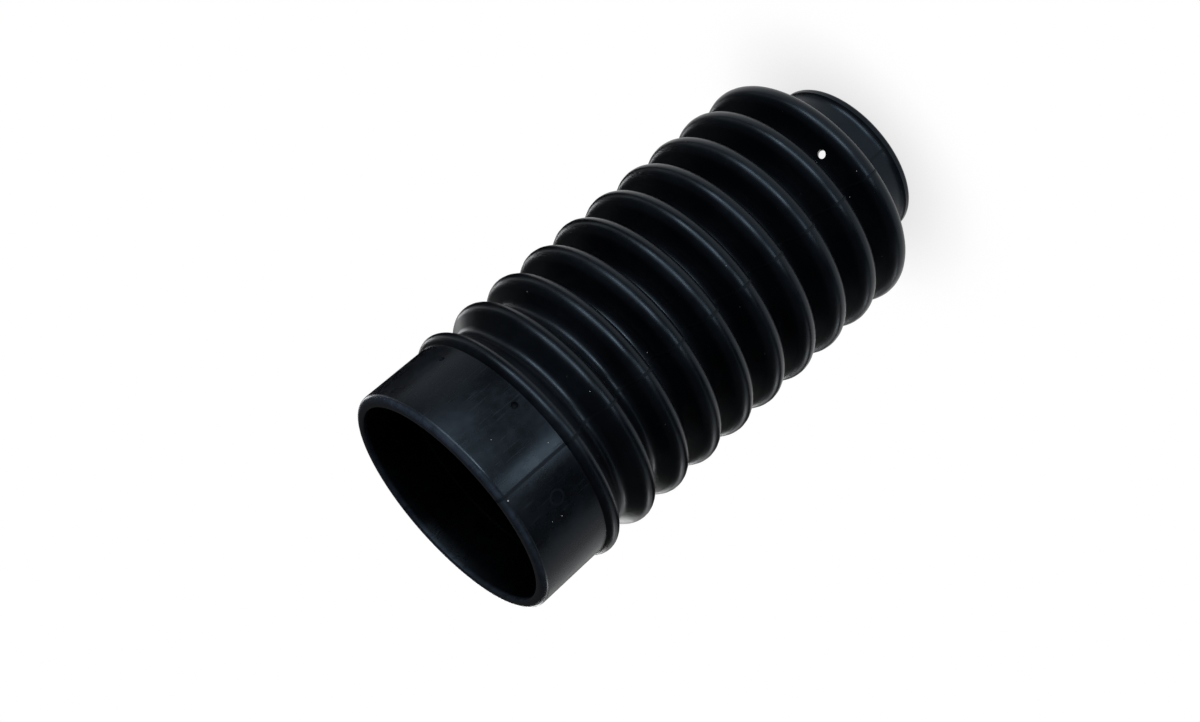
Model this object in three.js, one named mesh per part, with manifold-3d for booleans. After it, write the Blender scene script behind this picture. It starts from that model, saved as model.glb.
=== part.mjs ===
// Fork gaiter: one moulded rubber bellows with a small and a large cuff.
// Millimetres. The axis is +Z, the small cuff's face stands on z = 0 and the large mouth is on top.
// Azimuth 0, the +X side, is where the mould's parting line runs.

import * as THREE from 'three';
import { mergeVertices } from 'three/addons/utils/BufferGeometryUtils.js';
import Module from 'manifold-3d';

// Small cuff, which seats on the fork tube
const SMALL_BORE_RADIUS = 25.6;
const SMALL_CUFF_WALL = 2.1;
const SMALL_CUFF_LENGTH = 13.3;
const SMALL_LIP_PROUD = 1.3;
const SMALL_LIP_THICKNESS = 2.4;
const SMALL_LIP_FLARE = 3.2;
const SMALL_LIP_ROUND = 1.3;

// Bellows
const SHOULDER_RISE = 8.6;
const FOLD_COUNT = 9;
const FOLD_PITCH = 15.1;
const FOLD_DEPTH = 12.6;
const FOLD_WALL = 2.2;
const CREST_RADIUS = 43.6;
const CREST_ROUND = 3.8;
const ROOT_ROUND = 3.4;

// Grooves next to the bead, from the bead down, which are shallower than the others
const SHALLOW_GROOVE_DEPTHS = [5.6, 7.6];

// Bead, which keeps a clamp from sliding off the large cuff
const BEAD_PITCH = 15.9;
const BEAD_PROUD = 1.9;
const BEAD_ROUND = 3.0;

// Large cuff, which seats on the fork slider
const LARGE_BORE_RADIUS = 38.2;
const LARGE_CUFF_WALL = 3.8;
const LARGE_CUFF_LENGTH = 29.9;
const LARGE_CUFF_FLARE = 0.2;
const LARGE_RIM_ROUND = 2.2;
const SEAT_DEPTH = 18.9;
const SEAT_STEP = 1.2;
const HOLLOW_SETBACK = 2.4;

// Edge round at the mouth of both bores
const BORE_EDGE_ROUND = 0.5;

// Vent, punched inwards at a slant through the groove over the lowest crest
const VENT_RADIUS = 1.4;
const VENT_AZIMUTH = 22.5;
const VENT_SLANT = 32;

// Fineness of the surface
const FACETS = 40;
const OUTSIDE_STEPS = { crest: 3, root: 3 };
const INSIDE_STEPS = { crest: 1, root: 2 };
const RIM_STEPS = 3;
const EDGE_STEPS = 2;
const VENT_FACETS = 16;

// A rounding never shrinks below this, nor takes more than this share of the room between two centres
const LEAST_ROUND = 0.3;
const ROUND_SHARE = 0.9;

// Radii and heights that follow
const smallCuffRadius = SMALL_BORE_RADIUS + SMALL_CUFF_WALL;
const smallLipRadius = smallCuffRadius + SMALL_LIP_PROUD;
const largeMouthRadius = LARGE_BORE_RADIUS + LARGE_CUFF_WALL;
const largeNeckRadius = largeMouthRadius - LARGE_CUFF_FLARE;
const hollowBoreRadius = LARGE_BORE_RADIUS - SEAT_STEP;
const lowestCrestHeight = SMALL_CUFF_LENGTH + SHOULDER_RISE;
const highestCrestHeight = lowestCrestHeight + (FOLD_COUNT - 1) * FOLD_PITCH;
const beadHeight = highestCrestHeight + BEAD_PITCH;
const mouthHeight = beadHeight + LARGE_CUFF_LENGTH;

const degrees = THREE.MathUtils.degToRad;
const quarterTurn = Math.PI / 2;

// Crests from the lowest up, the bead last: each is a circle that the wall wraps round
const crests = [];
for (let index = 0; index < FOLD_COUNT; index += 1) {
  crests.push({
    centre: CREST_RADIUS - CREST_ROUND,
    height: lowestCrestHeight + index * FOLD_PITCH,
    round: CREST_ROUND,
  });
}
crests.push({
  centre: largeNeckRadius + BEAD_PROUD - BEAD_ROUND,
  height: beadHeight,
  round: BEAD_ROUND,
});

// Roots between neighbouring crests, with a round that fits the groove
const roots = [];
for (let index = 0; index < FOLD_COUNT; index += 1) {
  const below = crests[index];
  const above = crests[index + 1];
  const depth = SHALLOW_GROOVE_DEPTHS[FOLD_COUNT - 1 - index] ?? FOLD_DEPTH;
  const bottom = CREST_RADIUS - depth;
  const room = ROUND_SHARE * (above.height - below.height) / 2;
  const round = Math.min(ROOT_ROUND, Math.max(LEAST_ROUND, room - Math.max(below.round, above.round)));
  roots.push({
    centre: bottom + round,
    height: (below.height + above.height) / 2,
    round,
  });
}

// Points on an arc, both ends included
function arc(centre, height, round, from, to, steps) {
  const points = [];
  for (let step = 0; step <= steps; step += 1) {
    const angle = from + (to - from) * step / steps;
    points.push(new THREE.Vector2(
      centre + round * Math.cos(angle),
      height + round * Math.sin(angle),
    ));
  }
  return points;
}

// Angle at which a straight flank leaves a crest's circle on its way to a root's circle
function flankAngle(crest, root, crestRound, rootRound) {
  const rise = Math.abs(root.height - crest.height);
  const fall = crest.centre - root.centre;
  const reach = Math.hypot(rise, fall);
  return Math.atan2(fall, rise) + Math.asin(Math.min(1, (crestRound + rootRound) / reach));
}

// Angle at which a straight flank from a point touches a crest's circle from below
function touchAngle(point, crest, round) {
  const across = crest.centre - point.x;
  const up = crest.height - point.y;
  return Math.atan2(up, across) - Math.asin(Math.min(1, round / Math.hypot(across, up))) - quarterTurn;
}

// One side of the folded wall, from the lowest crest up: the crests shrink and the roots grow by the inset
function foldedSide(firstAngle, lastAngle, inset, steps) {
  const points = [];
  const crestRound = (crest) => Math.max(LEAST_ROUND, crest.round - inset);
  const rootRound = (root) => root.round + inset;
  const angleBetween = (crest, root) => flankAngle(crest, root, crestRound(crest), rootRound(root));
  crests.forEach((crest, index) => {
    const below = roots[index - 1];
    const above = roots[index];
    const from = below ? -angleBetween(crest, below) : firstAngle;
    const to = above ? angleBetween(crest, above) : lastAngle;
    points.push(...arc(crest.centre, crest.height, crestRound(crest), from, to, steps.crest));
    if (above) {
      const leave = angleBetween(crest, above);
      const meet = angleBetween(crests[index + 1], above);
      points.push(...arc(above.centre, above.height, rootRound(above),
        leave + Math.PI, Math.PI - meet, steps.root));
    }
  });
  return points;
}

// Outside of the small cuff, from the edge of its bore to the foot of the shoulder
function smallCuffOutside() {
  const lipRound = Math.min(SMALL_LIP_ROUND, SMALL_LIP_THICKNESS);
  const flareTurn = Math.acos(1 - Math.min(1, SMALL_LIP_PROUD / SMALL_LIP_FLARE));
  const flareHeight = SMALL_LIP_THICKNESS + SMALL_LIP_FLARE * Math.sin(flareTurn);
  return [
    ...arc(SMALL_BORE_RADIUS + BORE_EDGE_ROUND, BORE_EDGE_ROUND, BORE_EDGE_ROUND,
      -Math.PI, -quarterTurn, EDGE_STEPS),
    ...arc(smallLipRadius - lipRound, lipRound, lipRound, -quarterTurn, 0, EDGE_STEPS),
    ...arc(smallCuffRadius + SMALL_LIP_FLARE, flareHeight, SMALL_LIP_FLARE,
      Math.PI + flareTurn, Math.PI, EDGE_STEPS),
    new THREE.Vector2(smallCuffRadius, SMALL_CUFF_LENGTH),
  ];
}

// Large cuff, from the bead's outside over the rim and down its stepped bore
function largeCuff() {
  return [
    ...arc(largeMouthRadius - LARGE_RIM_ROUND, mouthHeight - LARGE_RIM_ROUND, LARGE_RIM_ROUND,
      0, quarterTurn, RIM_STEPS),
    ...arc(LARGE_BORE_RADIUS + BORE_EDGE_ROUND, mouthHeight - BORE_EDGE_ROUND, BORE_EDGE_ROUND,
      quarterTurn, Math.PI, EDGE_STEPS),
    new THREE.Vector2(LARGE_BORE_RADIUS, mouthHeight - SEAT_DEPTH),
    new THREE.Vector2(hollowBoreRadius, mouthHeight - SEAT_DEPTH),
    new THREE.Vector2(hollowBoreRadius, beadHeight + HOLLOW_SETBACK),
  ];
}

// Whole section of the wall as a closed outline: up the outside and back down the inside
function wallSection() {
  const lowest = crests[0];
  const bead = crests[crests.length - 1];
  const shoulderFoot = new THREE.Vector2(smallCuffRadius, SMALL_CUFF_LENGTH);
  const shoulderAngle = touchAngle(shoulderFoot, lowest, lowest.round);
  const neckAngle = Math.acos(Math.min(1, (largeNeckRadius - bead.centre) / bead.round));
  const innerRound = Math.max(LEAST_ROUND, lowest.round - FOLD_WALL);
  const innerTouch = arc(lowest.centre, lowest.height, innerRound, shoulderAngle, shoulderAngle, 1)[0];
  const shoulderSlope = Math.tan(shoulderAngle + quarterTurn);
  const boreEndHeight = innerTouch.y - (innerTouch.x - SMALL_BORE_RADIUS) * shoulderSlope;
  const outline = [
    ...smallCuffOutside(),
    ...foldedSide(shoulderAngle, neckAngle, 0, OUTSIDE_STEPS),
    ...largeCuff(),
    ...foldedSide(shoulderAngle, quarterTurn, FOLD_WALL, INSIDE_STEPS).reverse(),
    new THREE.Vector2(SMALL_BORE_RADIUS, boreEndHeight),
  ];
  outline.push(outline[0].clone());
  return outline;
}

const wasm = await Module();
wasm.setup();

// A closed mesh as a solid that can be cut
function solidOf(geometry) {
  const bare = geometry.index ? geometry.clone() : geometry;
  bare.deleteAttribute('normal');
  bare.deleteAttribute('uv');
  const merged = mergeVertices(bare);
  return new wasm.Manifold(new wasm.Mesh({
    numProp: 3,
    vertProperties: new Float32Array(merged.attributes.position.array),
    triVerts: new Uint32Array(merged.index.array),
  }));
}

// A cut solid as a mesh's geometry again
function geometryOf(solid) {
  const mesh = solid.getMesh();
  const geometry = new THREE.BufferGeometry();
  geometry.setAttribute('position', new THREE.BufferAttribute(mesh.vertProperties, 3));
  geometry.setIndex(new THREE.BufferAttribute(mesh.triVerts, 1));
  geometry.computeVertexNormals();
  return geometry;
}

// The moulded wall, turned about +Z
function wallGeometry() {
  return new THREE.LatheGeometry(wallSection(), FACETS).rotateX(quarterTurn);
}

// The punch that opens the vent, centred where the lowest groove's round meets its lower flank
function ventPunch() {
  const root = roots[0];
  const angle = flankAngle(crests[0], root, crests[0].round, root.round) + Math.PI;
  const mouth = arc(root.centre, root.height, root.round, angle, angle, 1)[0];
  const slant = degrees(VENT_SLANT);
  const length = 2 * (root.round + FOLD_WALL);
  const punch = new THREE.CylinderGeometry(VENT_RADIUS, VENT_RADIUS, length, VENT_FACETS);
  punch.rotateZ(slant - quarterTurn);
  punch.rotateX(quarterTurn);
  punch.translate(mouth.x, 0, mouth.y - FOLD_WALL / 2);
  return punch.rotateZ(degrees(VENT_AZIMUTH));
}

const rubber = new THREE.MeshStandardMaterial({ color: 0x15181d, roughness: 0.48, metalness: 0 });

const gaiter = new THREE.Mesh(
  geometryOf(solidOf(wallGeometry()).subtract(solidOf(ventPunch()))),
  rubber,
);
gaiter.name = 'gaiter';

const part = new THREE.Group();
part.add(gaiter);

export default part;
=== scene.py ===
"""Fork gaiter: one moulded rubber bellows, its parting line, the stage, lamps and camera."""

import math

import bpy
from mathutils import Matrix, Vector


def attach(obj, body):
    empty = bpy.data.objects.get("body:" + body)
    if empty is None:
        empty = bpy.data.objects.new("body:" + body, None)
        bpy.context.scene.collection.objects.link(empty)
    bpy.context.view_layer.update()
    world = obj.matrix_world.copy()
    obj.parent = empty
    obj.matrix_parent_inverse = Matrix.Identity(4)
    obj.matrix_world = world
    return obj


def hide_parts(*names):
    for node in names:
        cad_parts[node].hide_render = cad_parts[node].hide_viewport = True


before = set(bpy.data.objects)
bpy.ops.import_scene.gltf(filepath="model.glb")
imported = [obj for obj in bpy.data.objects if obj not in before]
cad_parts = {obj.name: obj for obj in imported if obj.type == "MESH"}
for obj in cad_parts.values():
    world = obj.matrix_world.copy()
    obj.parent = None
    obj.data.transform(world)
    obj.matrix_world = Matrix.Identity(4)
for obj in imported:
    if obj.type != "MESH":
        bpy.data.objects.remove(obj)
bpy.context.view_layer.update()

bl_info = {
    "name": "Fork Gaiter",
    "version": (1, 0, 0),
    "blender": (4, 5, 0),
    "location": "3D View > Sidebar > Fork Gaiter",
    "description": "Models a moulded rubber fork gaiter and its studio stage",
    "category": "Add Mesh",
}

MM = 0.001
FULL_TURN = 2 * math.pi
QUARTER_TURN = math.pi / 2


# Sizes, colours and light

class GaiterSizes(bpy.types.PropertyGroup):
    """Sizes of the moulded gaiter."""

    small_bore_radius: bpy.props.FloatProperty(
        name="Small Bore Radius", description="Radius of the bore that seats on the fork tube",
        default=25.6 * MM, min=0, unit="LENGTH")
    small_cuff_wall: bpy.props.FloatProperty(
        name="Small Cuff Wall", description="Wall thickness of the small cuff",
        default=2.1 * MM, min=0, unit="LENGTH")
    small_cuff_length: bpy.props.FloatProperty(
        name="Small Cuff Length", description="Height of the small cuff up to its shoulder",
        default=13.3 * MM, min=0, unit="LENGTH")
    fold_count: bpy.props.IntProperty(
        name="Folds", description="Number of full folds below the bead", default=9, min=3)
    fold_pitch: bpy.props.FloatProperty(
        name="Fold Pitch", description="Distance from crest to crest",
        default=15.1 * MM, min=0, unit="LENGTH")
    fold_depth: bpy.props.FloatProperty(
        name="Fold Depth", description="Depth of a full groove below the crests",
        default=12.6 * MM, min=0, unit="LENGTH")
    fold_wall: bpy.props.FloatProperty(
        name="Fold Wall", description="Wall thickness of the folds",
        default=2.2 * MM, min=0, unit="LENGTH")
    crest_radius: bpy.props.FloatProperty(
        name="Crest Radius", description="Radius of the gaiter over its crests",
        default=43.6 * MM, min=0, unit="LENGTH")
    crest_round: bpy.props.FloatProperty(
        name="Crest Round", description="Rounding of a crest's top",
        default=3.8 * MM, min=0, unit="LENGTH")
    root_round: bpy.props.FloatProperty(
        name="Root Round", description="Largest rounding of a groove's bottom",
        default=3.4 * MM, min=0, unit="LENGTH")
    large_bore_radius: bpy.props.FloatProperty(
        name="Large Bore Radius", description="Radius of the bore that seats on the fork slider",
        default=38.2 * MM, min=0, unit="LENGTH")
    large_cuff_wall: bpy.props.FloatProperty(
        name="Large Cuff Wall", description="Wall thickness of the large cuff",
        default=3.8 * MM, min=0, unit="LENGTH")
    large_cuff_length: bpy.props.FloatProperty(
        name="Large Cuff Length", description="Height of the large cuff from its bead to its rim",
        default=29.9 * MM, min=0, unit="LENGTH")
    turn_steps: bpy.props.IntProperty(
        name="Turn Steps", description="Steps of the section's turn about the axis",
        default=256, min=16)


class RubberFinish(bpy.types.PropertyGroup):
    """Colour, gloss and dust of the moulded rubber."""

    rubber_color: bpy.props.FloatVectorProperty(
        name="Rubber", description="Colour of the clean rubber",
        default=(0.0016, 0.0021, 0.0031), size=3, min=0, max=1, subtype="COLOR")
    bloom_color: bpy.props.FloatVectorProperty(
        name="Bloom", description="Colour where wax has bloomed on the rubber",
        default=(0.0060, 0.0078, 0.0112), size=3, min=0, max=1, subtype="COLOR")
    roughness: bpy.props.FloatProperty(
        name="Roughness", description="Roughness of the clean rubber",
        default=0.31, min=0, max=1, subtype="FACTOR")
    dust: bpy.props.FloatProperty(
        name="Dust", description="Share of the dust specks that show",
        default=0.5, min=0, max=1, subtype="FACTOR")


class StageLight(bpy.types.PropertyGroup):
    """Size of the floor and strength of the room's light."""

    floor_size: bpy.props.FloatProperty(
        name="Floor Size", description="Side of the square floor",
        default=24.0, min=1, unit="LENGTH")
    world_strength: bpy.props.FloatProperty(
        name="Room Light", description="Strength of the even light of the room",
        default=0.06, min=0)


# Section of the wall

# Lip of the small cuff: how far it stands out, its thickness, its flare and its outer rounding
SMALL_LIP_PROUD = 1.3 * MM
SMALL_LIP_THICKNESS = 2.4 * MM
SMALL_LIP_FLARE = 3.2 * MM
SMALL_LIP_ROUND = 1.3 * MM
# Height of the lowest crest over the small cuff
SHOULDER_RISE = 8.6 * MM

# Depths of the grooves next to the bead, from the bead down
SHALLOW_GROOVE_DEPTHS = (5.6 * MM, 7.6 * MM)
# Bead: height over the highest crest, how far it stands out of the cuff, and its rounding
BEAD_PITCH = 15.9 * MM
BEAD_PROUD = 1.9 * MM
BEAD_ROUND = 3.0 * MM

# Large cuff: how much wider it is at its rim than at its bead, and the rim's outer rounding
LARGE_CUFF_FLARE = 0.2 * MM
LARGE_RIM_ROUND = 2.2 * MM
# Shoulder in its bore: depth under the rim, height of the step, and its edge's rounding
SEAT_DEPTH = 18.9 * MM
SEAT_STEP = 1.2 * MM
SEAT_EDGE_ROUND = 0.35 * MM
# How far over the bead the hollow of the folds ends, and the rounding of both bores' edges
HOLLOW_SETBACK = 2.4 * MM
BORE_EDGE_ROUND = 0.5 * MM

# Least rounding of a crest or root, and the share of half a pitch that the two may fill together
LEAST_ROUND = 0.3 * MM
ROUND_SHARE = 0.9

# Steps on each arc; on the folds for each crest and each root
OUTSIDE_STEPS = (10, 8)
INSIDE_STEPS = (3, 5)
RIM_STEPS = 10
LIP_STEPS = 6
EDGE_STEPS = 4

# Vent in the lowest groove, and how far its bore leans up from level on its way out
VENT_RADIUS = 1.4 * MM
VENT_AZIMUTH = math.radians(22.5)
VENT_SLANT = math.radians(32)
VENT_STEPS = 48

# Azimuth, height and radius of the pits in the large cuff, and their depth for each radius
MOULD_PITS = (
    (math.radians(25.4), 165.4 * MM, 1.2 * MM),
    (math.radians(68.1), 166.8 * MM, 0.9 * MM),
)
PIT_DEPTH_SHARE = 1.1
PIT_STEPS = (32, 16)

# Flash on the parting line: width, how far it stands out and how deep it sits in the wall
PARTING_WIDTH = 0.6 * MM
PARTING_PROUD = 0.10 * MM
PARTING_SUNK = 0.6 * MM
# How much further the flash stands out over the crests, and how deep below their tops that starts
CREST_FLASH_PROUD = 0.16 * MM
CREST_FLASH_REACH = 1.6 * MM


def on_arc(centre, height, radius, angle):
    """Point (radius, height) at an angle of a circle in the section."""
    return (centre + radius * math.cos(angle), height + radius * math.sin(angle))


def arc(centre, height, radius, start, end, steps):
    """Points (radius, height) on an arc, both ends included."""
    return [
        on_arc(centre, height, radius, start + (end - start) * step / steps)
        for step in range(steps + 1)
    ]


class Section:
    """Section of the gaiter's wall, worked out from its sizes."""

    def __init__(self, sizes):
        self.sizes = sizes
        self.small_cuff_radius = sizes.small_bore_radius + sizes.small_cuff_wall
        self.mouth_radius = sizes.large_bore_radius + sizes.large_cuff_wall
        self.neck_radius = self.mouth_radius - LARGE_CUFF_FLARE
        lowest = sizes.small_cuff_length + SHOULDER_RISE
        crest_centre = sizes.crest_radius - sizes.crest_round
        # Circles of the crests and, last, of the bead: (centre, height, radius)
        self.crests = [
            (crest_centre, lowest + index * sizes.fold_pitch, sizes.crest_round)
            for index in range(sizes.fold_count)
        ]
        bead_height = self.crests[-1][1] + BEAD_PITCH
        self.crests.append((self.neck_radius + BEAD_PROUD - BEAD_ROUND, bead_height, BEAD_ROUND))
        self.mouth_height = bead_height + sizes.large_cuff_length
        self.roots = [self.root_above(index) for index in range(sizes.fold_count)]

    def root_above(self, index):
        """Circle of the groove over one crest: (centre, height, radius)."""
        below, above = self.crests[index], self.crests[index + 1]
        from_bead = self.sizes.fold_count - 1 - index
        shallow = from_bead < len(SHALLOW_GROOVE_DEPTHS)
        depth = SHALLOW_GROOVE_DEPTHS[from_bead] if shallow else self.sizes.fold_depth
        room = ROUND_SHARE * (above[1] - below[1]) / 2
        radius = min(self.sizes.root_round, max(LEAST_ROUND, room - max(below[2], above[2])))
        return (self.sizes.crest_radius - depth + radius, (below[1] + above[1]) / 2, radius)

    @staticmethod
    def flank_angle(crest, root, crest_round, root_round):
        """Angle at which a straight flank leaves a crest's circle for a root's circle."""
        rise = abs(root[1] - crest[1])
        fall = crest[0] - root[0]
        touch = math.asin(min(1, (crest_round + root_round) / math.hypot(rise, fall)))
        return math.atan2(fall, rise) + touch

    def shoulder_angle(self):
        """Angle at which the straight shoulder touches the lowest crest's circle."""
        across = self.crests[0][0] - self.small_cuff_radius
        rise = self.crests[0][1] - self.sizes.small_cuff_length
        touch = math.asin(min(1, self.crests[0][2] / math.hypot(across, rise)))
        return math.atan2(rise, across) - touch - QUARTER_TURN

    def folded_side(self, first, last, inset, steps):
        """One side of the folded wall from the lowest crest up, moved into the wall by the inset.

        It starts and ends at the first and last angle, with steps on each (crest, root).
        """
        crest_round = [max(LEAST_ROUND, crest[2] - inset) for crest in self.crests]
        points = []
        for index, crest in enumerate(self.crests):
            start, end = first, last
            if index > 0:
                below = self.roots[index - 1]
                start = -self.flank_angle(crest, below, crest_round[index], below[2] + inset)
            if index < len(self.roots):
                above = self.roots[index]
                end = self.flank_angle(crest, above, crest_round[index], above[2] + inset)
            points += arc(crest[0], crest[1], crest_round[index], start, end, steps[0])
            if index < len(self.roots):
                meet = self.flank_angle(
                    self.crests[index + 1], above, crest_round[index + 1], above[2] + inset)
                points += arc(
                    above[0], above[1], above[2] + inset, end + math.pi, math.pi - meet, steps[1])
        return points

    def small_cuff_outside(self):
        """Small cuff, from the edge of its bore over the lip to the foot of the shoulder."""
        bore, length = self.sizes.small_bore_radius, self.sizes.small_cuff_length
        lip_radius = self.small_cuff_radius + SMALL_LIP_PROUD
        turn = math.acos(1 - min(1, SMALL_LIP_PROUD / SMALL_LIP_FLARE))
        flare_height = SMALL_LIP_THICKNESS + SMALL_LIP_FLARE * math.sin(turn)
        return [
            *arc(bore + BORE_EDGE_ROUND, BORE_EDGE_ROUND, BORE_EDGE_ROUND,
                 -math.pi, -QUARTER_TURN, EDGE_STEPS),
            *arc(lip_radius - SMALL_LIP_ROUND, SMALL_LIP_ROUND, SMALL_LIP_ROUND,
                 -QUARTER_TURN, 0, LIP_STEPS),
            *arc(self.small_cuff_radius + SMALL_LIP_FLARE, flare_height, SMALL_LIP_FLARE,
                 math.pi + turn, math.pi, LIP_STEPS),
            (self.small_cuff_radius, length),
        ]

    def outside(self):
        """Outside of the wall, from the small cuff's bore edge to the large cuff's rim."""
        bead = self.crests[-1]
        neck_angle = math.acos(min(1, (self.neck_radius - bead[0]) / bead[2]))
        return [
            *self.small_cuff_outside(),
            *self.folded_side(self.shoulder_angle(), neck_angle, 0, OUTSIDE_STEPS),
            *arc(self.mouth_radius - LARGE_RIM_ROUND, self.mouth_height - LARGE_RIM_ROUND,
                 LARGE_RIM_ROUND, 0, QUARTER_TURN, RIM_STEPS),
        ]

    def inside(self):
        """Inside of the wall, from the large mouth's edge down to the small cuff's bore."""
        bore = self.sizes.large_bore_radius
        seat_height = self.mouth_height - SEAT_DEPTH
        lowest = self.crests[0]
        angle = self.shoulder_angle()
        touch = on_arc(
            lowest[0], lowest[1], max(LEAST_ROUND, lowest[2] - self.sizes.fold_wall), angle)
        slope = math.tan(angle + QUARTER_TURN)
        bore_end = touch[1] - (touch[0] - self.sizes.small_bore_radius) * slope
        return [
            *arc(bore + BORE_EDGE_ROUND, self.mouth_height - BORE_EDGE_ROUND, BORE_EDGE_ROUND,
                 QUARTER_TURN, math.pi, EDGE_STEPS),
            (bore, seat_height),
            *arc(bore - SEAT_STEP + SEAT_EDGE_ROUND, seat_height - SEAT_EDGE_ROUND,
                 SEAT_EDGE_ROUND, QUARTER_TURN, math.pi, EDGE_STEPS),
            (bore - SEAT_STEP, self.crests[-1][1] + HOLLOW_SETBACK),
            *reversed(self.folded_side(angle, QUARTER_TURN, self.sizes.fold_wall, INSIDE_STEPS)),
            (self.sizes.small_bore_radius, bore_end),
        ]


# Modelling

# Points closer together than this become one, and edges flatter than this are shaded smooth
MERGE_DISTANCE = 0.002 * MM
SMOOTH_ANGLE = math.radians(35)


def clear_selection():
    """Deselects every object, as the frame's nodes stay selected after loading."""
    if bpy.context.object and bpy.context.object.mode != "OBJECT":
        bpy.ops.object.mode_set(mode="OBJECT")
    bpy.ops.object.select_all(action="DESELECT")


def draw_chain(name, points, closed):
    """A new object with one chain of edges through the points, made by extruding a vertex."""
    clear_selection()
    bpy.ops.mesh.primitive_plane_add(size=MM, location=(0, 0, 0))
    piece = bpy.context.object
    piece.name = piece.data.name = name
    bpy.ops.object.mode_set(mode="EDIT")
    bpy.ops.mesh.select_mode(type="VERT")
    bpy.ops.mesh.merge(type="CENTER")
    bpy.ops.transform.translate(value=points[0])
    if closed:
        points = [*points, points[0]]
    for start, end in zip(points, points[1:]):
        bpy.ops.mesh.extrude_vertices_move(
            TRANSFORM_OT_translate={"value": Vector(end) - Vector(start)})
    bpy.ops.mesh.select_all(action="SELECT")
    bpy.ops.mesh.remove_doubles(threshold=MERGE_DISTANCE)
    return piece


def close_and_smooth():
    """Merges doubles, turns every face outwards and shades the edited piece smooth."""
    bpy.ops.mesh.select_all(action="SELECT")
    bpy.ops.mesh.remove_doubles(threshold=MERGE_DISTANCE)
    bpy.ops.mesh.normals_make_consistent(inside=False)
    bpy.ops.object.mode_set(mode="OBJECT")
    bpy.ops.object.shade_smooth_by_angle(angle=SMOOTH_ANGLE)


def cut(piece, cutter):
    """Takes the cutter out of the piece and deletes the cutter."""
    clear_selection()
    piece.select_set(True)
    bpy.context.view_layer.objects.active = piece
    modifier = piece.modifiers.new("Cut", "BOOLEAN")
    modifier.operation = "DIFFERENCE"
    modifier.solver = "EXACT"
    modifier.object = cutter
    bpy.ops.object.modifier_apply(modifier=modifier.name)
    bpy.data.objects.remove(cutter)


def on_side(radius, azimuth, height):
    """Point at a radius and azimuth round the axis."""
    return Vector((radius * math.cos(azimuth), radius * math.sin(azimuth), height))


def finish_piece(piece, material, *nodes):
    """Gives a piece its material, its body and the CAD nodes that it stands for."""
    piece.data.materials.clear()
    piece.data.materials.append(material)
    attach(piece, "root")
    if nodes:
        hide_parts(*nodes)


# Materials

# Noises: cells for each metre and levels of detail
CLOUD_NOISE = (55, 5)
MOTTLE_NOISE = (380, 4)
WAVE_NOISE = (110, 2)
GRAIN_NOISE = (3200, 2)
STREAK_NOISE = (1300, 3)
BROAD_STREAK_NOISE = (260, 2)
# How much slower the streaks change along the cuff than round it
STREAK_STRETCH = 0.06

# Part of each noise over which its mask or value rises
CLOUD_RISE = (0.38, 0.68)
MOTTLE_RISE = (0.3, 0.65)
SCUFF_RISE = (0.60, 0.74)
BROAD_STREAK_RISE = (0.35, 0.7)
ROUGH_RISE = (0.3, 0.7)

# Where the large cuff's finish starts, over what height it comes in, and the folds' share of bloom
CUFF_FOOT = 160.5 * MM
CUFF_FADE = 2 * MM
FOLD_BLOOM_FADE = 8 * MM
FOLD_BLOOM = 0.45
# Least share of the bloom, and of the rim's painted highlight, that the mottling leaves
MOTTLED_BLOOM = 0.45
MOTTLED_RIM = 0.55
# Depths under the mouth where the rim's painted highlight starts and is full
RIM_HIGHLIGHT_DEPTHS = (1.9 * MM, 1.0 * MM)
# Distances from the parting line where its dull edge, which also takes painted shade, starts and is
# full
SEAM_EDGE = (0.75 * MM, 0.35 * MM)

# Colours, and how much of them scuffs, the round mark and the parting line's edge take
# Painted highlight: colour of the paler band along the large cuff's rim
RIM_HIGHLIGHT_COLOR = (0.030, 0.041, 0.060, 1)
# Painted shade: near-black colour laid in the pits and along the parting line
PAINTED_SHADE_COLOR = (0.0004, 0.0004, 0.0005, 1)
DUST_COLOR = (0.45, 0.46, 0.48, 1)
SCUFF_BRIGHTNESS = 2.2
SCUFF_SHARE = 0.5
MARK_SHARE = 0.25
SEAM_SHADE_SHARE = 0.6

# Gloss: what clouds and mottling add to the roughness, and what the cuff's polish takes off
CLOUD_ROUGHNESS = (-0.03, 0.05)
MOTTLE_ROUGHNESS = (-0.015, 0.025)
CUFF_POLISH = 0.06
ADDED_ROUGHNESS = {
    "scuff": 0.10, "broad_streak": 0.02, "round_mark": 0.07, "seam": 0.25, "pits": 0.5, "dust": 0.5}
SPECULAR_LEVEL = 0.21
SPECULAR_TINT = (0.56, 0.78, 1.0, 1)

# Bumps: strength and height
WAVE_BUMP = (0.5, 0.06 * MM)
MOTTLE_BUMP = (0.3, 0.012 * MM)
GRAIN_BUMP = (0.2, 0.010 * MM)

# Loose dust: cells for each metre, radius of a speck, and the share of its radius that is solid
SPECK_CELLS = 170
SPECK_RADIUS = 0.16 * MM
SPECK_CORE = 0.6
# Azimuth, height and radius of the dust specks that lie on the large cuff
CUFF_SPECKS = (
    (math.radians(-2.0), 186.4 * MM, 0.28 * MM),
    (math.radians(-23.4), 174.5 * MM, 0.25 * MM),
    (math.radians(21.0), 178.2 * MM, 0.14 * MM),
    (math.radians(47.0), 171.5 * MM, 0.13 * MM),
)
# Azimuth, height, radius and width of the faint round mark on the large cuff, and its solid share
ROUND_MARK = (math.radians(-15.0), 173.0 * MM, 2.3 * MM, 0.45 * MM)
ROUND_MARK_CORE = 0.2
# Depth of a pit's mask under the cuff, and where it starts and is full, for each radius
PIT_MASK_DEPTH = 0.5
PIT_MASK_EDGE = (1.02, 0.85)

CARD_COLOR = (0.004, 0.004, 0.004, 1)
FLOOR_COLOR = (0.8, 0.8, 0.8, 1)
FLOOR_ROUGHNESS = 0.9
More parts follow.
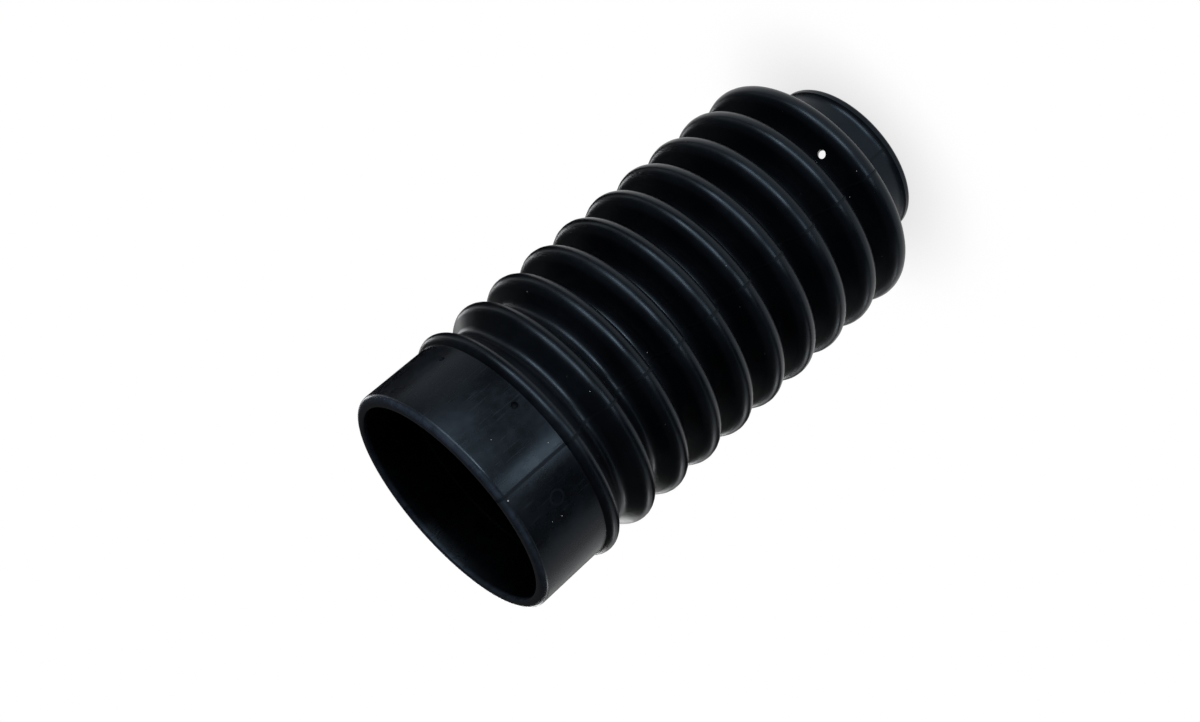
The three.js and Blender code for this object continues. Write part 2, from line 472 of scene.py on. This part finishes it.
# Soft shadow on the floor: reach, samples, openness where it ends, and its darkest tone
SHADOW_REACH = 0.036
SHADOW_SAMPLES = 8
SHADOW_END = 0.9
SHADOW_TONE = 0.72
# Distances from the axis over which the floor turns plain white
WHITE_FROM = SHADOW_REACH + 0.05
WHITE_TO = SHADOW_REACH + 0.12


def noise(tree, vector, scale, detail):
    """Soft noise over a vector, with its scale in cells for each metre."""
    node = tree.nodes.new("ShaderNodeTexNoise")
    node.inputs["Scale"].default_value = scale
    node.inputs["Detail"].default_value = detail
    tree.links.new(vector, node.inputs["Vector"])
    return node.outputs["Fac"]


def ranged(tree, value, low, high, to_low=0.0, to_high=1.0):
    """A value spread from one range over another, and held inside it."""
    node = tree.nodes.new("ShaderNodeMapRange")
    node.inputs["From Min"].default_value = low
    node.inputs["From Max"].default_value = high
    node.inputs["To Min"].default_value = to_low
    node.inputs["To Max"].default_value = to_high
    tree.links.new(value, node.inputs["Value"])
    return node.outputs["Result"]


def maths(tree, operation, *values):
    """A Math node's result for sockets or numbers."""
    node = tree.nodes.new("ShaderNodeMath")
    node.operation = operation
    for socket, value in zip(node.inputs, values):
        if isinstance(value, (int, float)):
            socket.default_value = value
        else:
            tree.links.new(value, socket)
    return node.outputs[0]


def layered(tree, mask, colour, layer):
    """A colour laid over another one where the mask is 1."""
    node = tree.nodes.new("ShaderNodeMix")
    node.data_type = "RGBA"
    mask_socket, below, above = node.inputs[0], node.inputs[6], node.inputs[7]
    tree.links.new(mask, mask_socket)
    for socket, value in ((below, colour), (above, layer)):
        if isinstance(value, tuple):
            socket.default_value = value
        else:
            tree.links.new(value, socket)
    return node.outputs[2]


def apart(tree, place, point):
    """Distance of the surface from a point."""
    node = tree.nodes.new("ShaderNodeVectorMath")
    node.operation = "DISTANCE"
    node.inputs[1].default_value = point
    tree.links.new(place, node.inputs[0])
    return node.outputs["Value"]


def bumped(tree, height, strength, distance, normal=None):
    """A bump over the surface, or over another bump."""
    node = tree.nodes.new("ShaderNodeBump")
    node.inputs["Strength"].default_value = strength
    node.inputs["Distance"].default_value = distance
    tree.links.new(height, node.inputs["Height"])
    if normal:
        tree.links.new(normal, node.inputs["Normal"])
    return node.outputs["Normal"]


def new_material(name):
    """A material with its node tree and its shader node."""
    material = bpy.data.materials.new(name)
    material.use_nodes = True
    return material, material.node_tree, material.node_tree.nodes["Principled BSDF"]


def speck_mask(tree, place, share, cuff_radius):
    """Mask of the loose dust: scattered specks, and the ones that lie on the large cuff."""
    cells = tree.nodes.new("ShaderNodeTexVoronoi")
    cells.inputs["Scale"].default_value = SPECK_CELLS
    tree.links.new(place, cells.inputs["Vector"])
    size = SPECK_RADIUS * SPECK_CELLS
    dot = ranged(tree, cells.outputs["Distance"], size, SPECK_CORE * size)
    kept = maths(tree, "LESS_THAN", cells.outputs["Color"], share)
    mask = maths(tree, "MULTIPLY", dot, kept)
    for azimuth, height, radius in CUFF_SPECKS:
        distance = apart(tree, place, on_side(cuff_radius, azimuth, height))
        mask = maths(tree, "MAXIMUM", mask, ranged(tree, distance, radius, SPECK_CORE * radius))
    return mask


def pit_mask(tree, place, cuff_radius):
    """Mask of the floors of the two pits, where no gloss shows and shade is painted."""
    mask = 0.0
    for azimuth, height, radius in MOULD_PITS:
        point = on_side(cuff_radius - PIT_MASK_DEPTH * radius, azimuth, height)
        start, full = (share * radius for share in PIT_MASK_EDGE)
        mask = maths(tree, "MAXIMUM", mask, ranged(tree, apart(tree, place, point), start, full))
    return mask


def round_mark_mask(tree, place, cuff_radius):
    """Mask of the faint round mark on the large cuff."""
    azimuth, height, radius, width = ROUND_MARK
    distance = apart(tree, place, on_side(cuff_radius, azimuth, height))
    off = maths(tree, "ABSOLUTE", maths(tree, "SUBTRACT", distance, radius))
    return ranged(tree, off, width, ROUND_MARK_CORE * width)


def rubber_pattern(tree, finish, section):
    """The noises and masks that the rubber's colour, gloss and bumps share, by name."""
    place = tree.nodes.new("ShaderNodeTexCoord").outputs["Object"]
    parts = tree.nodes.new("ShaderNodeSeparateXYZ")
    tree.links.new(place, parts.inputs[0])
    across, depth, height = parts.outputs["X"], parts.outputs["Y"], parts.outputs["Z"]
    cuff_radius, mouth_height = section.mouth_radius, section.mouth_height

    # Place round the axis and up it, for thin marks that run up the cuff
    around = maths(tree, "MULTIPLY", maths(tree, "ARCTAN2", depth, across), cuff_radius)
    round_and_up = tree.nodes.new("ShaderNodeCombineXYZ")
    tree.links.new(around, round_and_up.inputs["X"])
    tree.links.new(maths(tree, "MULTIPLY", height, STREAK_STRETCH), round_and_up.inputs["Z"])
    streak = noise(tree, round_and_up.outputs[0], *STREAK_NOISE)
    broad_streak = noise(tree, round_and_up.outputs[0], *BROAD_STREAK_NOISE)

    cloud = noise(tree, place, *CLOUD_NOISE)
    mottle = noise(tree, place, *MOTTLE_NOISE)
    bloom = maths(tree, "MULTIPLY", ranged(tree, cloud, *CLOUD_RISE),
                  ranged(tree, mottle, *MOTTLE_RISE, MOTTLED_BLOOM, 1.0))
    by_height = ranged(tree, height, CUFF_FOOT - FOLD_BLOOM_FADE, CUFF_FOOT, FOLD_BLOOM, 1.0)
    # Band just under the mouth where a highlight is painted on the rim
    rim = ranged(tree, height, *(mouth_height - under for under in RIM_HIGHLIGHT_DEPTHS))
    on_cuff = ranged(tree, height, CUFF_FOOT, CUFF_FOOT + CUFF_FADE)
    return {
        "streak": maths(tree, "MULTIPLY", streak, on_cuff),
        "scuff": maths(tree, "MULTIPLY", ranged(tree, streak, *SCUFF_RISE), on_cuff),
        "broad_streak": maths(
            tree, "MULTIPLY", ranged(tree, broad_streak, *BROAD_STREAK_RISE), on_cuff),
        "cloud": cloud,
        "mottle": mottle,
        "waves": noise(tree, place, *WAVE_NOISE),
        "grain": noise(tree, place, *GRAIN_NOISE),
        "bloom": maths(tree, "MULTIPLY", bloom, by_height),
        "rim": maths(tree, "MULTIPLY", rim, ranged(tree, mottle, *MOTTLE_RISE, MOTTLED_RIM, 1.0)),
        "on_cuff": on_cuff,
        "seam": ranged(tree, maths(tree, "ABSOLUTE", depth), *SEAM_EDGE),
        "dust": speck_mask(tree, place, finish.dust, cuff_radius),
        "pits": pit_mask(tree, place, cuff_radius),
        "round_mark": round_mark_mask(tree, place, cuff_radius),
    }


def rubber_colour(tree, finish, pattern):
    """Black rubber with blue-grey bloom, scuffs and dust, a painted highlight on the rim, and
    painted shade in the pits and along the parting line.
    """
    scuffed = (*(SCUFF_BRIGHTNESS * part for part in finish.bloom_color), 1)
    scuff = maths(tree, "MULTIPLY", pattern["scuff"], SCUFF_SHARE)
    mark = maths(tree, "MULTIPLY", pattern["round_mark"], MARK_SHARE)
    seam = maths(tree, "MULTIPLY", pattern["seam"], SEAM_SHADE_SHARE)
    colour = (*finish.rubber_color, 1)
    for mask, layer in (
        (pattern["bloom"], (*finish.bloom_color, 1)),
        (scuff, scuffed),
        # Painted highlight along the large cuff's rim
        (pattern["rim"], RIM_HIGHLIGHT_COLOR),
        (mark, scuffed),
        # Painted shade in the pits and along the parting line
        (maths(tree, "MAXIMUM", pattern["pits"], seam), PAINTED_SHADE_COLOR),
        (pattern["dust"], DUST_COLOR),
    ):
        colour = layered(tree, mask, colour, layer)
    return colour


def rubber_roughness(tree, finish, pattern):
    """Satin folds and a glossier cuff, dull in the pits, on dust and along the parting line."""
    rough = ranged(tree, pattern["cloud"], *ROUGH_RISE,
                   *(finish.roughness + added for added in CLOUD_ROUGHNESS))
    rough = maths(tree, "ADD", rough,
                  ranged(tree, pattern["mottle"], *ROUGH_RISE, *MOTTLE_ROUGHNESS))
    rough = maths(tree, "SUBTRACT", rough, maths(tree, "MULTIPLY", pattern["on_cuff"], CUFF_POLISH))
    for name, amount in ADDED_ROUGHNESS.items():
        rough = maths(tree, "ADD", rough, maths(tree, "MULTIPLY", pattern[name], amount))
    return rough


def rubber_bumps(tree, pattern):
    """Slow waves, mottling with the cuff's streaks, and fine grain."""
    normal = bumped(tree, pattern["waves"], *WAVE_BUMP)
    uneven = maths(tree, "ADD", pattern["mottle"], pattern["streak"])
    normal = bumped(tree, uneven, *MOTTLE_BUMP, normal)
    return bumped(tree, pattern["grain"], *GRAIN_BUMP, normal)


def rubber_material(finish, section):
    """Moulded black rubber, the same for the wall and its parting line."""
    material = bpy.data.materials.get("moulded_rubber")
    if material:
        return material
    material, tree, shader = new_material("moulded_rubber")
    pattern = rubber_pattern(tree, finish, section)
    tree.links.new(rubber_colour(tree, finish, pattern), shader.inputs["Base Color"])
    tree.links.new(rubber_roughness(tree, finish, pattern), shader.inputs["Roughness"])
    tree.links.new(rubber_bumps(tree, pattern), shader.inputs["Normal"])
    shader.inputs["Specular IOR Level"].default_value = SPECULAR_LEVEL
    shader.inputs["Specular Tint"].default_value = SPECULAR_TINT
    return material


def card_material():
    """Dull black card."""
    material, _, shader = new_material("black_card")
    shader.inputs["Base Color"].default_value = CARD_COLOR
    shader.inputs["Roughness"].default_value = 1.0
    shader.inputs["Specular IOR Level"].default_value = 0.0
    return material


def floor_material():
    """Plain white floor that stays white to the camera and in reflections, and keeps the shadow."""
    material, tree, shader = new_material("pale_floor")
    nodes, links = tree.nodes, tree.links
    shader.inputs["Base Color"].default_value = FLOOR_COLOR
    shader.inputs["Roughness"].default_value = FLOOR_ROUGHNESS
    path = nodes.new("ShaderNodeLightPath").outputs
    seen = maths(tree, "MAXIMUM", path["Is Camera Ray"], path["Is Glossy Ray"])
    seen = maths(tree, "MAXIMUM", seen, path["Is Transmission Ray"])

    shade = nodes.new("ShaderNodeAmbientOcclusion")
    shade.inputs["Distance"].default_value = SHADOW_REACH
    shade.samples = SHADOW_SAMPLES
    tone = ranged(tree, shade.outputs["AO"], 0.0, SHADOW_END, SHADOW_TONE, 1.0)
    place = nodes.new("ShaderNodeTexCoord").outputs["Object"]
    plain = ranged(tree, apart(tree, place, (0, 0, 0)), WHITE_FROM, WHITE_TO)

    white = nodes.new("ShaderNodeEmission")
    mix = nodes.new("ShaderNodeMixShader")
    links.new(maths(tree, "MAXIMUM", plain, tone), white.inputs["Strength"])
    links.new(seen, mix.inputs["Fac"])
    links.new(shader.outputs["BSDF"], mix.inputs[1])
    links.new(white.outputs["Emission"], mix.inputs[2])
    links.new(mix.outputs["Shader"], nodes["Material Output"].inputs["Surface"])
    return material


# Operators

class FORKGAITER_OT_wall(bpy.types.Operator):
    """Turns the folded wall and its cuffs, then cuts the vent and the moulding pits"""

    bl_idname = "fork_gaiter.wall"
    bl_label = "Folded Wall"

    def execute(self, context):
        sizes = context.scene.gaiter_sizes
        section = Section(sizes)
        outline = [(radius, 0, height) for radius, height in section.outside() + section.inside()]
        wall = draw_chain("gaiter_wall", outline, closed=True)
        bpy.ops.mesh.spin(
            steps=sizes.turn_steps, angle=FULL_TURN, center=(0, 0, 0), axis=(0, 0, 1))
        close_and_smooth()
        self.cut_vent(wall, section)
        self.cut_pits(wall, section)
        finish_piece(wall, rubber_material(context.scene.rubber_finish, section), "gaiter")
        return {"FINISHED"}

    def cut_vent(self, wall, section):
        """Cuts the vent where the lowest groove's round meets its lower flank."""
        root, crest = section.roots[0], section.crests[0]
        angle = section.flank_angle(crest, root, crest[2], root[2]) + math.pi
        radius, height = on_arc(*root, angle)
        centre = on_side(radius, VENT_AZIMUTH, height - section.sizes.fold_wall / 2)
        clear_selection()
        bpy.ops.mesh.primitive_cylinder_add(
            vertices=VENT_STEPS, radius=VENT_RADIUS, depth=2 * (root[2] + section.sizes.fold_wall),
            location=centre, rotation=(0, QUARTER_TURN - VENT_SLANT, VENT_AZIMUTH))
        cut(wall, bpy.context.object)

    def cut_pits(self, wall, section):
        """Sinks the two small pits that the mould's pins leave in the large cuff."""
        for azimuth, height, radius in MOULD_PITS:
            clear_selection()
            bpy.ops.mesh.primitive_uv_sphere_add(
                segments=PIT_STEPS[0], ring_count=PIT_STEPS[1], radius=radius,
                scale=(PIT_DEPTH_SHARE, 1, 1), rotation=(0, 0, azimuth),
                location=on_side(section.mouth_radius, azimuth, height))
            cut(wall, bpy.context.object)


class FORKGAITER_OT_parting_line(bpy.types.Operator):
    """Makes the thin raised flash that the mould's two halves leave along both sides"""

    bl_idname = "fork_gaiter.parting_line"
    bl_label = "Parting Line"

    def execute(self, context):
        section = Section(context.scene.gaiter_sizes)
        outline = self.flash_outline(section)
        flash = draw_chain("parting_line", outline, closed=False)
        bpy.ops.mesh.extrude_edges_move(TRANSFORM_OT_translate={"value": (0, PARTING_WIDTH, 0)})
        bpy.ops.mesh.select_all(action="SELECT")
        bpy.ops.mesh.duplicate()
        bpy.ops.transform.rotate(value=math.pi, orient_axis="Z", center_override=(0, 0, 0))
        bpy.ops.mesh.select_all(action="SELECT")
        bpy.ops.mesh.normals_make_consistent(inside=False)
        bpy.ops.object.mode_set(mode="OBJECT")
        modifier = flash.modifiers.new("Thickness", "SOLIDIFY")
        modifier.thickness = PARTING_SUNK + PARTING_PROUD
        modifier.offset = (PARTING_PROUD - PARTING_SUNK) / (PARTING_PROUD + PARTING_SUNK)
        bpy.ops.object.modifier_apply(modifier=modifier.name)
        bpy.ops.object.shade_smooth_by_angle(angle=SMOOTH_ANGLE)
        finish_piece(flash, rubber_material(context.scene.rubber_finish, section))
        return {"FINISHED"}

    def flash_outline(self, section):
        """Run of the flash up the outside, from the small cuff's lip to the large cuff's rim."""
        first = section.small_cuff_radius
        last = section.mouth_height - LARGE_RIM_ROUND
        points = []
        for radius, height in section.outside():
            if height < SMALL_LIP_ROUND or height > last or radius < first:
                continue
            over_crest = 1 - (section.sizes.crest_radius - radius) / CREST_FLASH_REACH
            proud = CREST_FLASH_PROUD * min(1, max(0, over_crest))
            points.append((radius + proud, -PARTING_WIDTH / 2, height))
        return points


# Camera: place, the way that it looks, its upward way, lens and sensor in millimetres, near limit
CAMERA_PLACE = Vector((0.61185, 0.13564, 0.38395))
CAMERA_LOOK = Vector((-0.8997, -0.1952, -0.3905))
CAMERA_UP = Vector((0.0906, 0.7915, -0.6043))
CAMERA_LENS = 63.495
CAMERA_SENSOR = 36
CAMERA_NEAREST = 0.01

# Lamps: name, azimuth in degrees, distance, lower and upper edge and width in metres, brightness
LAMPS = (
    ("front_panel", 22.5, 1.2, 0.04, 0.28, 0.27, 17.0),
    ("middle_panel", 40.5, 1.2, 0.04, 0.28, 0.50, 7.0),
    ("wide_panel", 58.5, 1.2, 0.04, 0.28, 0.27, 13.0),
    ("side_panel", 73.5, 1.2, 0.04, 0.32, 0.29, 2.4),
    ("upper_panel", 48.5, 1.2, 0.30, 0.58, 0.63, 1.5),
    ("back_panel", 162.5, 1.2, 0.02, 0.16, 0.27, 3.5),
    ("far_panel", 205.0, 1.2, 0.02, 0.16, 0.50, 4.0),
    ("rear_panel", 250.0, 1.2, 0.02, 0.16, 0.30, 3.0),
    ("front_strip", -6.0, 0.30, 0.03, 0.11, 0.068, 6.6),
    ("left_strip", 97.5, 0.30, 0.03, 0.11, 0.236, 0.50),
    ("right_strip", -84.5, 0.30, 0.03, 0.11, 0.157, 0.48),
    ("back_strip", -122.5, 0.30, 0.03, 0.11, 0.236, 0.50),
)
# Watts for each square metre of an area lamp and each step of brightness
POWER_SHARE = 4

# Flat black card on the floor round the part: inner and outer radius, lift off the floor, steps
CARD_INSIDE = 0.19
CARD_OUTSIDE = 1.0
CARD_LIFT = 0.001
CARD_STEPS = 64


class FORKGAITER_OT_stage(bpy.types.Operator):
    """Lays the floor and sets the lamps, the room's light and the camera"""

    bl_idname = "fork_gaiter.stage"
    bl_label = "Stage"

    def execute(self, context):
        light = context.scene.stage_light
        clear_selection()
        bpy.ops.mesh.primitive_plane_add(size=light.floor_size, location=(0, 0, 0))
        floor = context.object
        floor.name = floor.data.name = "floor"
        floor.data.materials.append(floor_material())
        self.black_card()
        for lamp in LAMPS:
            self.add_lamp(*lamp)
        self.light_room(context, light)
        self.add_camera(context)
        return {"FINISHED"}

    def black_card(self):
        """Flat black ring that keeps the white floor out of the part's gloss."""
        turns = [FULL_TURN * step / CARD_STEPS for step in range(CARD_STEPS)]
        edge = [on_side(CARD_INSIDE, turn, CARD_LIFT) for turn in turns]
        card = draw_chain("black_card", edge, closed=True)
        bpy.ops.mesh.extrude_edges_move()
        wider = CARD_OUTSIDE / CARD_INSIDE
        bpy.ops.transform.resize(value=(wider, wider, 1), center_override=(0, 0, 0))
        bpy.ops.object.mode_set(mode="OBJECT")
        card.data.materials.append(card_material())
        card.visible_camera = False
        return card

    def add_lamp(self, name, azimuth, distance, low, high, width, brightness):
        """An upright area lamp that faces the part's axis, equally bright whatever its size."""
        height = high - low
        place = on_side(distance, math.radians(azimuth), (low + high) / 2)
        bpy.ops.object.light_add(type="AREA", location=place)
        lamp = bpy.context.object
        lamp.name = lamp.data.name = name
        lamp.data.shape = "RECTANGLE"
        lamp.data.size = width
        lamp.data.size_y = height
        lamp.data.energy = brightness * width * height * POWER_SHARE
        lamp.rotation_euler = Vector((-place.x, -place.y, 0)).to_track_quat("-Z", "Y").to_euler()
        lamp.visible_camera = False

    def light_room(self, context, light):
        """Even, dim light from all sides."""
        world = bpy.data.worlds.new("room")
        world.use_nodes = True
        background = world.node_tree.nodes["Background"]
        background.inputs["Color"].default_value = (1, 1, 1, 1)
        background.inputs["Strength"].default_value = light.world_strength
        context.scene.world = world

    def add_camera(self, context):
        """The photograph's camera."""
        bpy.ops.object.camera_add(location=CAMERA_PLACE)
        camera = context.object
        camera.name = camera.data.name = "camera"
        right = CAMERA_LOOK.cross(CAMERA_UP).normalized()
        up = right.cross(CAMERA_LOOK).normalized()
        turn = Matrix((right, up, -CAMERA_LOOK.normalized())).transposed()
        camera.rotation_euler = turn.to_euler()
        camera.data.sensor_width = CAMERA_SENSOR
        camera.data.lens = CAMERA_LENS
        camera.data.clip_start = CAMERA_NEAREST
        context.scene.camera = camera
        context.scene.view_settings.view_transform = "Standard"


class FORKGAITER_PT_sidebar(bpy.types.Panel):
    """Lists the gaiter's pieces and their values in the 3D view's sidebar"""

    bl_idname = "FORKGAITER_PT_sidebar"
    bl_label = "Fork Gaiter"
    bl_space_type = "VIEW_3D"
    bl_region_type = "UI"
    bl_category = "Fork Gaiter"

    def draw(self, context):
        scene = context.scene
        column = self.layout.column()
        for group in (scene.gaiter_sizes, scene.rubber_finish, scene.stage_light):
            for name in group.__annotations__:
                column.prop(group, name)
        for operator in PIECE_OPERATORS:
            column.operator(operator.bl_idname)


PIECE_OPERATORS = (FORKGAITER_OT_stage, FORKGAITER_OT_wall, FORKGAITER_OT_parting_line)
CLASSES = (GaiterSizes, RubberFinish, StageLight, *PIECE_OPERATORS, FORKGAITER_PT_sidebar)


def register():
    for cls in CLASSES:
        bpy.utils.register_class(cls)
    bpy.types.Scene.gaiter_sizes = bpy.props.PointerProperty(type=GaiterSizes)
    bpy.types.Scene.rubber_finish = bpy.props.PointerProperty(type=RubberFinish)
    bpy.types.Scene.stage_light = bpy.props.PointerProperty(type=StageLight)


def unregister():
    del bpy.types.Scene.stage_light
    del bpy.types.Scene.rubber_finish
    del bpy.types.Scene.gaiter_sizes
    for cls in reversed(CLASSES):
        bpy.utils.unregister_class(cls)


def main():
    register()
    bpy.ops.fork_gaiter.stage()
    bpy.ops.fork_gaiter.wall()
    bpy.ops.fork_gaiter.parting_line()


if __name__ == "__main__":
    main()
